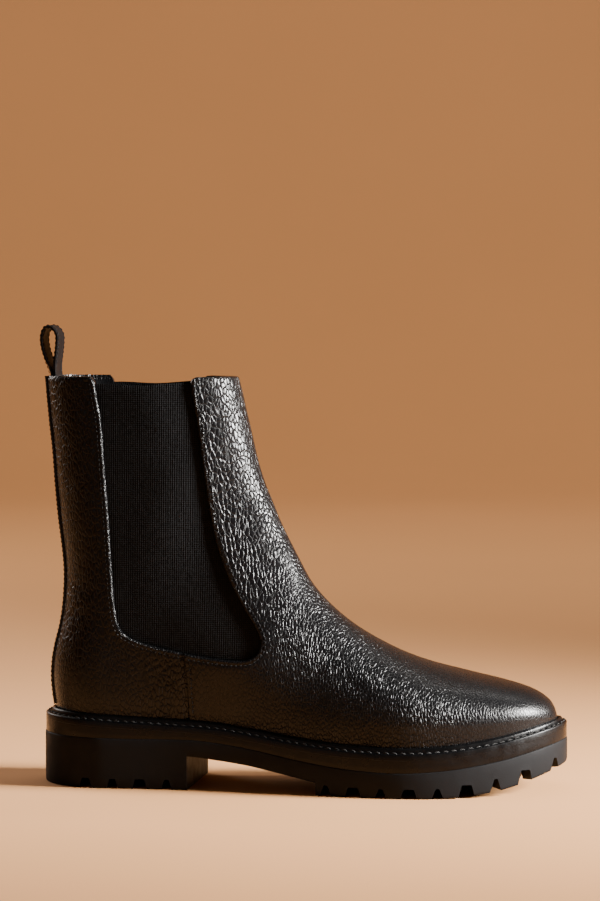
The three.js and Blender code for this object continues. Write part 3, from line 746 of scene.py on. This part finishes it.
def quarter_piece(name, node, inner):
    edge_uv = locate(QUARTER_EDGE)
    edge_uv[0, 0] = LAST
    seam_uv = locate(SEAM_LINE)
    seam_uv[-1, 1] = 0
    path = np.concatenate([edge_uv, seam_uv[1:]])
    back = line_u(CORNER, LAST, 0)
    top = line_v(LAST, 0, edge_uv[0, 1])
    foot = line_u(seam_uv[-1, 0], CORNER, 0)
    loop = loop_of(back, top, path, foot)
    rails = [
        line[(line[:, 1] > 0.004) & (line[:, 0] < LAST - 0.02)]
        for line in rails_beside(np.concatenate([QUARTER_EDGE, SEAM_LINE[1:]]), -1)
    ]
    for low in TOPLINE_RAILS:
        rails.append(line_v(LAST - low / TOPLINE_SECTION, 0.01, edge_uv[0, 1] - 0.02))
    if inner:
        loop, edge_uv, seam_uv = mirrored(loop), mirrored(edge_uv), mirrored(seam_uv)
        rails = [mirrored(line) for line in rails]
    edge_spots = skin(*edge_uv.T)
    seam_spots = skin(*seam_uv.T)

    def lift(points, uv, edge):
        fold = nearest([edge_spots], points)
        seam = nearest([seam_spots], points)
        under = -1.2 * ramp(-seam, -3.5, -0.3)
        top_edge = rolled(np.abs(TOP_Z - points[:, 2]), 1.4, 0.8)
        shape = np.minimum(rolled(fold, 1.3, 0.85), top_edge) + stitch_groove(fold, STITCH_IN)
        free = ramp(np.minimum(fold, seam), 1, 7)
        return shape + under + 0.3 * np.exp(-(fold / 5) ** 2) + leather_swell(points) * free

    obj, base = patch(name, loop, rails, LEATHER_MAT, lift, leather_depth)
    leather_finish(obj, base)
    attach(obj, "boot")
    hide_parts(node)


def gore_piece(name, node, inner):
    """The elastic, tucked under the leather all round and straight-cut along its top."""
    wide = beside(dense(GORE[GORE_ROUNDED:-GORE_ROUNDED]), -LAP)
    wide = wide[wide[:, 1] < ELASTIC_TOP[0][1]]
    top = dense([tuple(wide[-1]), *ELASTIC_TOP[::-1], tuple(wide[0])], 1.2)
    loop = loop_of(locate(np.concatenate([wide, top[1:-1]])))
    if inner:
        loop = mirrored(loop)

    def lift(points, uv, edge):
        hem = np.exp(-(((edge - 1.6) / 0.5) ** 2))
        return -ELASTIC_DEPTH + rolled(edge, 0.9, 0.6) - 0.3 * hem + 0.12 * ripple(points, 16, 8)

    def depth(points, uv, edge):
        return np.full(len(points), ELASTIC_DEPTH + ELASTIC)

    obj, _ = patch(name, loop, [], ELASTIC_MAT, lift, depth)
    stretches_with_gore(obj)
    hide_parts(node)


def lining_piece(name, nodes, loop, blended):
    def lift(points, uv, edge):
        return np.full(len(points), -LINING_DEPTH)

    def depth(points, uv, edge):
        return np.full(len(points), LINING_DEPTH + LINING)

    obj, _ = patch(name, loop, [], SMOOTH_MAT, lift, depth, (0.16, 0.04))
    if blended:
        bends_with_vamp(obj)
    else:
        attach(obj, "boot")
    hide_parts(*nodes)


def lining_pieces():
    top = LAST - 0.12
    edge = locate(VAMP_EDGE[::3])
    edge[:, 0] = np.minimum(edge[:, 0], top)
    seam = locate(SEAM_LINE[::3])
    foot_u = seam[-1, 0]
    seam[-1, 1] = 0.002
    outer = np.concatenate([line_u(0.3, foot_u, 0.002, 0.12), seam[::-1], edge])
    inner = mirrored(outer[::-1])
    loop = loop_of(
        outer, line_v(top, edge[-1, 1], 2 - edge[-1, 1], 0.03), inner, line_v(0.3, 1.99, 0.01, 0.1)
    )
    lining_piece("front_lining", ("vamp_lining", "shaft_front_lining"), loop, True)
    edge = locate(QUARTER_EDGE[::3])
    edge[:, 0] = np.minimum(edge[:, 0], top)
    half = loop_of(
        line_u(CORNER - 0.4, top, 0.01, 0.12), line_v(top, 0.01, edge[0, 1], 0.03), edge,
        seam, line_u(foot_u, CORNER - 0.4, 0.01, 0.12),
    )
    lining_piece("outer_back_lining", ("outer_quarter_lining",), half, False)
    lining_piece("inner_back_lining", ("inner_quarter_lining",), mirrored(half), False)


def strip_at(u, y):
    """v of the point beside the back line that lies y from the middle, for each u."""
    low, high = np.zeros_like(u), np.full_like(u, 0.5)
    for _ in range(30):
        middle = (low + high) / 2
        short = np.abs(skin(u, middle)[:, 1]) < y
        low = np.where(short, middle, low)
        high = np.where(short, high, middle)
    return (low + high) / 2


def back_stay_piece():
    rows = np.linspace(CORNER + 0.08, LAST, 150)
    half_across = [1, 3, 5, 6.3, 6.9, 7.6, 8.3, 8.75, STAY_HALF]
    across = [-y for y in half_across[::-1]] + half_across
    outside, inside = [], []
    for y in across:
        v = strip_at(rows, abs(y)) * (1 if y < 0 else -1)
        spot, normal = skin(rows, v), skin_normal(rows, v)
        edge = STAY_HALF - abs(y)
        lift = 1.25 + rolled(np.array([edge]), 1.0, 1.0)[0]
        lift -= 0.25 * math.exp(-(((edge - STAY_STITCH_IN) / 0.5) ** 2))
        outside.append(spot + normal * lift)
        inside.append(spot - normal * 0.6)
    grid = np.array(outside + inside[::-1])
    count, length = len(grid), len(rows)
    faces = []
    for i in range(count):
        for j in range(length - 1):
            a, b = i * length + j, ((i + 1) % count) * length + j
            faces.append((a, b, b + 1, a + 1))
    faces.append([i * length for i in range(count)][::-1])
    faces.append([i * length + length - 1 for i in range(count)])
    obj = mesh_object("back_stay_strip", grid.reshape(-1, 3), faces, LEATHER_MAT, 60)
    float_attribute(obj, "grain", np.full(count * length, 0.8))
    float_attribute(obj, "fine_grain", np.full(count * length, 0.5))
    fixed(obj, "leather", "back_stay")


# ---------- stitches ----------
def stitches(name, runs, radius, material, pitch=STITCH_PITCH, length=STITCH_LENGTH):
    """Rows of single stitches. Each run is (points, normals) along the row."""
    bends, sides = 7, 6
    stitch_faces = tube_faces(bends, sides)
    points, faces = [], []
    for spots, normals in runs:
        run = np.r_[0, np.cumsum(np.linalg.norm(np.diff(spots, axis=0), axis=1))]
        for k in range(int(run[-1] / pitch)):
            middle = (k + 0.5) * pitch
            t = np.linspace(middle - length / 2, middle + length / 2, bends)
            line = np.column_stack([np.interp(t, run, spots[:, c]) for c in range(3)])
            up = np.array([np.interp(middle, run, normals[:, c]) for c in range(3)])
            way = line[-1] - line[0]
            way /= np.linalg.norm(way)
            side = np.cross(way, up)
            side /= np.linalg.norm(side)
            up = np.cross(side, way)
            first = len(points)
            for i, spot in enumerate(line):
                arch = math.sin(math.pi * i / (bends - 1))
                thick = radius * (0.45 + 0.55 * math.sqrt(arch))
                hub = spot + up * radius * (1.25 * arch - 0.55)
                for j in range(sides):
                    angle = 2 * math.pi * j / sides
                    points.append(hub + thick * (math.cos(angle) * side + math.sin(angle) * up))
            faces += [tuple(first + i for i in face) for face in stitch_faces]
    return mesh_object(name, points, faces, material)


def row_on_skin(path, distance, lift, inner):
    """Points and normals of a stitch row beside a side-view path."""
    uv = locate(beside(path, distance))
    if inner:
        uv = mirrored(uv)
    normal = skin_normal(*uv.T)
    return skin(*uv.T) + normal * lift, normal


def upper_stitches(side, inner):
    """The rows along the gore's edges and the side seam."""
    rows = {
        "quarter": (QUARTER_EDGE[4:], -STITCH_IN, 0.05),
        "seam": (SEAM_LINE[3:-6], STITCH_IN, 0.3),
        "vamp": (VAMP_EDGE[3:-4], -STITCH_IN, 0.3),
    }
    made = {}
    for name, (path, distance, lift) in rows.items():
        run = row_on_skin(path, distance, lift, inner)
        made[name] = stitches(f"{side}_{name}_stitches", [run], 0.26, THREAD_MAT)
    fixed(made["quarter"], "thread", f"{side}_quarter_thread")
    fixed(made["seam"], "thread", f"{side}_side_thread")
    bends_with_vamp(made["vamp"])
    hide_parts(f"{side}_vamp_thread", f"{side}_shaft_thread")


def stay_stitches():
    rows = np.linspace(CORNER + 0.4, LAST - 0.2, 160)
    runs = []
    for side in (1, -1):
        v = strip_at(rows, STAY_HALF - STAY_STITCH_IN) * side
        normal = skin_normal(rows, v)
        runs.append((skin(rows, v) + normal * 1.1, normal))
    obj = stitches("back_stay_stitches", runs, 0.25, THREAD_MAT)
    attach(obj, "boot")


# ---------- pull tab ----------
# The strap's middle, x and z, from one sewn end over the loop to the other.
TAB_LINE = [
    (6.6, 200), (5.5, 214), (4.6, 224), (3.4, 229), (1.6, 233.5), (-0.6, 241), (-0.9, 247),
    (1.2, 251.4), (4.4, 251.4), (7.4, 247.6), (7.5, 241), (6.6, 234), (6, 229), (6.4, 222),
    (7.6, 212), (8.4, 202),
]


def pull_tab_piece():
    """One strap: its ends are sewn inside and outside the back seam, its middle is the loop."""
    line = dense(TAB_LINE, 1.0)
    step = np.gradient(line, axis=0)
    step /= np.linalg.norm(step, axis=1, keepdims=True)
    out = np.column_stack([-step[:, 1], step[:, 0]])
    half_thick = TAB_THICK / 2
    across = np.linspace(-1, 1, 15)
    ring = [(TAB_HALF * s, half_thick * (1 - 0.35 * abs(s) ** 12)) for s in across]
    ring += [(TAB_HALF * s, -half_thick * (1 - 0.35 * abs(s) ** 12)) for s in across[::-1]]
    points = []
    for spot, way in zip(line, out):
        bow = ramp(spot[1], TOP_Z, TOP_Z + 14)
        for y, t in ring:
            edge = TAB_HALF - abs(y)
            t -= math.copysign(0.16, t) * math.exp(-(((edge - TAB_STITCH_IN) / 0.5) ** 2))
            cup = 0.5 * (y / TAB_HALF) ** 2 * (1 - bow)
            x, z = spot + way * t
            points.append((x + cup, y, z))
    faces = tube_faces(len(line), len(ring))
    obj = mesh_object("pull_tab_strap", points, faces, SMOOTH_MAT, 50)
    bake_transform(obj)
    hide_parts("pull_tab")
    runs = []
    for side in (1, -1):
        for face in (1, -1):
            spots = line + out * face * (half_thick + 0.02)
            normal = np.column_stack([out[:, 0] * face, np.zeros(len(line)), out[:, 1] * face])
            y = np.full(len(line), side * (TAB_HALF - TAB_STITCH_IN))
            row = np.column_stack([spots[:, 0], y, spots[:, 1]])
            runs.append((row[18:-16], normal[18:-16]))
    seams = stitches("pull_tab_stitches", runs, 0.22, THREAD_MAT)
    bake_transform(seams)


# ---------- sole ----------
def sole_ends(margin):
    """x of the back and the toe of the sole's outline, grown by margin."""
    return FEATHER_BACK - margin * BACK_SHARE, FEATHER_TOE + margin * TOE_SHARE


def half_width(margin, x):
    """Half the width of that outline at x."""
    back, toe = sole_ends(margin)
    return (
        (body_half(x) + margin)
        * rounded_end(x - back, HEEL_ROUND + margin)
        * rounded_end(toe - x, TOE_ROUND + margin)
    )


def outline(margin, turn):
    """Plan x and y of that outline at angles from 0, the back."""
    back, toe = sole_ends(margin)
    x = back + (toe - back) * (1 - np.cos(turn)) / 2
    return x, centre(x) - half_width(margin, x) * np.sign(np.sin(turn))


def ring_mesh(name, profile, base, material):
    """A closed profile of (margin, height over base) swept round the sole."""
    steps = 320
    turn = np.arange(steps) * 2 * math.pi / steps
    points = []
    for margin, up in profile:
        x, y = outline(margin, turn)
        points.append(np.column_stack([x, y, base(x) + up]))
    points = np.stack(points, 1).reshape(-1, 3)
    n = len(profile)
    faces = [
        (i * n + j, ((i + 1) % steps) * n + j, ((i + 1) % steps) * n + (j + 1) % n,
         i * n + (j + 1) % n)
        for i in range(steps)
        for j in range(n)
    ]
    return mesh_object(name, points, faces, material, 40)


def stations(back, toe, stops, steps):
    """Places from back to toe, close together at both ends and doubled at each stop."""
    if not stops:
        return back + (toe - back) * (1 - np.cos(np.linspace(0, math.pi, steps + 1))) / 2
    ends = [back, *stops, toe]
    runs = []
    for k, (a, b) in enumerate(zip(ends, ends[1:])):
        share = np.linspace(0, 1, max(8, round(steps * (b - a) / (toe - back))))
        if k == 0:
            share = 1 - np.cos(share * math.pi / 2)
        elif b == toe:
            share = np.sin(share * math.pi / 2)
        runs.append(a + 0.01 * (k > 0) + (b - a - 0.02) * share)
    return np.concatenate(runs)


def slab_mesh(name, wall, material, stops=()):
    """A solid slab. wall lists (margin, height function) down its side, top to bottom."""
    sides = []
    for margin, height in wall:
        back, toe = sole_ends(margin)
        x = stations(back + 0.02, toe - 0.02, stops, 160)
        sides.append((x, half_width(margin, x), height(x)))
    left = [np.column_stack([x, centre(x) - half, z]) for x, half, z in sides]
    right = [np.column_stack([x, centre(x) + half, z]) for x, half, z in sides]
    rings = np.stack(left + right[::-1], 1)
    return mesh_object(name, rings.reshape(-1, 3), tube_faces(*rings.shape[:2]), material, 35)


def up_from(height, distance):
    return lambda x: height(x) + distance


# The welt's section: how far out from the upper, and how far above its foot.
WELT_PROFILE = [
    (-8, -3.8), (WALL_MARGIN, -3.8), (WALL_MARGIN, -1.2), (6.2, -0.8), (5.8, -0.5),
    (5.2, -0.35), (4.9, -0.5), (4.6, -0.6), (4.3, -0.5), (4.0, -0.35), (3.3, -0.4), (2.95, -0.7),
    (2.8, -0.2), (2.75, 0.9), (2.55, 1.6), (2.1, 2.05), (1.5, 2.2), (0.8, 2.0), (0.4, 1.5),
    (0.3, -0.2), (-2, -0.4), (-8, -0.4),
]


def welt_piece():
    obj = ring_mesh("storm_welt", WELT_PROFILE, feather_z, WELT_MAT)
    fixed(obj, "welt", "welt")
    turn = np.linspace(0, 2 * math.pi, 1200)
    x, y = outline(4.6, turn)
    spots = np.column_stack([x, y, feather_z(x) - 0.3])
    normal = np.tile([0.0, 0.0, 1.0], (len(turn), 1))
    thread = stitches("welt_stitches", [(spots, normal)], 0.46, WELT_THREAD_MAT, 4.6, 3.5)
    fixed(thread, "thread", "welt_thread")


def midsole_piece():
    wall = [
        (WALL_MARGIN, up_from(feather_z, -3.85)),
        (WALL_MARGIN, lambda x: (feather_z(x) + midsole_z(x)) / 2 - 2),
        (WALL_MARGIN, up_from(midsole_z, 0.5)),
        (6.2, up_from(midsole_z, 0.15)),
    ]
    obj = slab_mesh("midsole_band", wall, WELT_MAT)
    fixed(obj, "welt", "midsole")


def prism(points_xz, y0, y1, turn, middle):
    """Corners and faces of a side-view outline made solid from y0 to y1, then turned."""
    n = len(points_xz)
    cos, sin = math.cos(turn), math.sin(turn)
    points = []
    for y in (y0, y1):
        for x, z in points_xz:
            dx, dy = x - middle[0], y - middle[1]
            points.append((middle[0] + dx * cos - dy * sin, middle[1] + dx * sin + dy * cos, z))
    faces = [tuple(range(n)), tuple(range(2 * n - 1, n - 1, -1))]
    faces += [(i, i + n, (i + 1) % n + n, (i + 1) % n) for i in range(n)]
    return points, faces


def groove(x, wide, narrow, root, y0, y1, turn=0.0):
    """A cutter that leaves a lug gap: wide at the ground, narrow at its root."""
    low = float(ground_z(np.array([x]))[0])
    shape = [
        (x - wide / 2 - 1.6, -8), (x + wide / 2 + 1.6, -8), (x + wide / 2, low + 0.3),
        (x + narrow / 2, root - 0.5), (x + narrow / 2 - 0.4, root), (x - narrow / 2 + 0.4, root),
        (x - narrow / 2, root - 0.5), (x - wide / 2, low + 0.3),
    ]
    return prism(shape, y0, y1, turn, (x, (y0 + y1) / 2))


def tread_cutters():
    """Cutters for the gaps between the lugs: the forefoot's rim, its middle, then the heel."""
    cutters = []
    for k in range(9):
        x = TREAD_BACK + 6 + k * LUG_PITCH
        wide, narrow = WIDE_GAP if k % 2 else NARROW_GAP
        reach = float(half_width(SOLE_REACH, x))
        middle = float(centre(x))
        lean = math.radians(-4 + k * 30 / 8)
        root = float(root_z(x))
        for side in (-1, 1):
            rim = middle + side * (reach - RIM / 2 + 6)
            half = RIM / 2 + 6
            cutters.append(groove(x, wide, narrow, root, rim - half, rim + half, -side * lean))
    for k in range(4):
        x = TREAD_BACK + 20 + k * 2 * LUG_PITCH
        reach = float(half_width(SOLE_REACH, x)) - RIM
        middle = float(centre(x))
        if reach > 3:
            root = float(root_z(x))
            cutters.append(groove(x, 5, 3.6, root, middle - reach, middle + reach))
    for x, wide, narrow in HEEL_GAPS:
        for y0, y1 in ((-60, -12), (12, 60)):
            cutters.append(groove(x, wide, narrow, HEEL_GAP_ROOT, y0, y1))
    return cutters


def applied(obj):
    """obj with its modifiers made final."""
    graph = bpy.context.evaluated_depsgraph_get()
    made = bpy.data.meshes.new_from_object(obj.evaluated_get(graph))
    obj.modifiers.clear()
    obj.data = made


def cut_away(obj, other):
    """Takes other's volume out of obj, and drops other."""
    cut = obj.modifiers.new("cut", "BOOLEAN")
    cut.operation = "DIFFERENCE"
    cut.solver = "EXACT"
    cut.use_self = True
    cut.object = other
    applied(obj)
    bpy.data.objects.remove(other)


def sole_bottom(x):
    """Height of the sole's underside before the gaps are cut."""
    return np.where(x < HEEL_BREAST, 0, np.where(x < TREAD_BACK, root_z(x), ground_z(x)))


def sole_piece():
    wall = [
        (6.3, up_from(midsole_z, 0.05)), (6.6, up_from(midsole_z, -0.25)),
        (6.75, up_from(midsole_z, -0.9)),
        (6.75, lambda x: 0.5 * (midsole_z(x) + np.maximum(sole_bottom(x), root_z(x))) - 0.4),
        (6.75, lambda x: sole_bottom(x) + np.where(x < HEEL_BREAST, 6, 1.5)),
        (6.6, up_from(sole_bottom, 1)), (6.3, up_from(sole_bottom, 0.3)), (5.9, sole_bottom),
    ]
    body = slab_mesh("lug_sole_unit", wall, RUBBER_MAT, stops=(HEEL_BREAST, TREAD_BACK))
    points, faces = [], []
    for corners, sides in tread_cutters():
        faces += [tuple(i + len(points) for i in side) for side in sides]
        points += corners
    cutter = mesh_object("lug_gaps", points, faces, RUBBER_MAT)
    cut_away(body, cutter)
    bevel = body.modifiers.new("rounded", "BEVEL")
    bevel.width = 0.00035
    bevel.segments = 1
    bevel.limit_method = "ANGLE"
    bevel.angle_limit = math.radians(50)
    applied(body)
    body.data.shade_smooth()
    body.data.set_sharp_from_angle(angle=math.radians(28))
    fixed(body, "rubber", "lug_sole")


def footbed_piece():
    """The sock liner fills the boot's floor up to the lining."""
    wall = [
        (-5.6, up_from(feather_z, 7.4)), (-5.0, up_from(feather_z, 6.9)),
        (-5.0, up_from(feather_z, 5.8)), (-5.8, up_from(feather_z, 5.3)),
    ]
    obj = slab_mesh("footbed", wall, SMOOTH_MAT)
    fixed(obj, "lining", "sock_liner")


# Colour, roughness and metal share of the pieces that keep the shape they come with.
HIDDEN = {
    "heel_counter": ((0.22, 0.13, 0.07), 0.85, 0.0),
    "toe_puff": ((0.22, 0.13, 0.07), 0.85, 0.0),
    "insole_board": ((0.22, 0.13, 0.07), 0.85, 0.0),
    "insole_rib": ((0.4, 0.36, 0.28), 0.85, 0.0),
    "bottom_filler": ((0.26, 0.12, 0.045), 0.95, 0.0),
    "heel_pad": ((0.045, 0.045, 0.05), 0.95, 0.0),
    "shank": ((0.5, 0.52, 0.55), 0.35, 1.0),
}


def finish_hidden_pieces():
    for name, (color, roughness, metallic) in HIDDEN.items():
        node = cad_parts[name]
        node.data.materials.clear()
        node.data.materials.append(plain_material(name + "_finish", color, roughness, metallic))


# ---------- studio ----------
def stage_floor():
    """A round paper floor that curves up into a wall well away from the boot."""
    m = Nodes("floor_paper")
    m.tint(m.noise(3, 2), (0.5, 0.235, 0.082), (0.53, 0.25, 0.088))
    m.set(Roughness=0.8)
    flat, bend, high, arc, turns = 2600, 1500, 3600, 24, 96
    profile = [(flat, 0)]
    for i in range(1, arc + 1):
        angle = math.pi / 2 * i / arc
        profile.append((flat + bend * math.sin(angle), bend * (1 - math.cos(angle))))
    profile.append((flat + bend, high))
    points = [
        (r * math.cos(2 * math.pi * k / turns), r * math.sin(2 * math.pi * k / turns), z)
        for r, z in profile
        for k in range(turns)
    ]
    faces = [tuple(range(turns))]
    for i in range(len(profile) - 1):
        for k in range(turns):
            a, b = i * turns + k, i * turns + (k + 1) % turns
            faces.append((b, a, a + turns, b + turns))
    floor = mesh_object("floor", points, faces, m.material)


def area_light(name, where, aim, width, height, power, color=(1, 1, 1), spread=180):
    data = bpy.data.lights.new(name, "AREA")
    data.shape = "RECTANGLE"
    data.size, data.size_y = width, height
    data.energy = power
    data.spread = math.radians(spread)
    data.color = color
    obj = bpy.data.objects.new(name, data)
    obj.location = to_frame(where)
    obj.rotation_euler = (
        Vector(to_frame(aim)) - Vector(to_frame(where))
    ).to_track_quat("-Z", "Y").to_euler()
    bpy.context.scene.collection.objects.link(obj)


def lights():
    middle = (140, 0, 110)
    area_light("key", (1400, -60, 560), middle, 0.35, 0.5, 22, (1.0, 0.98, 0.95), 60)
    area_light("front_fill", (-700, -1700, 500), middle, 1.6, 1.2, 2)
    area_light("heel_fill", (-1300, 1100, 800), middle, 0.9, 0.9, 12, (1.0, 0.97, 0.93))
    area_light("wall", (140, 1100, 2400), (140, 3700, 200), 3.0, 1.0, 90, (1.0, 0.95, 0.9))
    world = bpy.data.worlds.new("studio")
    world.use_nodes = True
    background = world.node_tree.nodes["Background"]
    background.inputs["Color"].default_value = (1.0, 0.93, 0.86, 1)
    background.inputs["Strength"].default_value = 0.13
    bpy.context.scene.world = world


def camera():
    turn, distance, height = math.radians(8.3), 1800, 267
    seen = 495.055        # millimetres seen from top to bottom at the aim
    aim = np.array([142.2, 0, 183.8])
    place = np.array([aim[0] + distance * math.sin(turn), -distance * math.cos(turn), height])
    data = bpy.data.cameras.new("camera")
    data.sensor_width = 36
    data.lens = data.sensor_width * np.linalg.norm(aim - place) / seen
    data.clip_end = 50
    obj = bpy.data.objects.new("camera", data)
    obj.location = to_frame(place)
    obj.rotation_euler = Vector(aim - place).to_track_quat("-Z", "Y").to_euler()
    bpy.context.scene.collection.objects.link(obj)
    bpy.context.scene.camera = obj


# ---------- the whole boot ----------
vamp_piece()
quarter_piece("outer_quarter_leather", "outer_quarter", False)
quarter_piece("inner_quarter_leather", "inner_quarter", True)
gore_piece("outer_elastic", "outer_gore", False)
gore_piece("inner_elastic", "inner_gore", True)
lining_pieces()
back_stay_piece()
stay_stitches()
for gore_side, is_inner in (("outer", False), ("inner", True)):
    upper_stitches(gore_side, is_inner)
pull_tab_piece()
welt_piece()
midsole_piece()
sole_piece()
footbed_piece()
finish_hidden_pieces()
stage_floor()
lights()
camera()
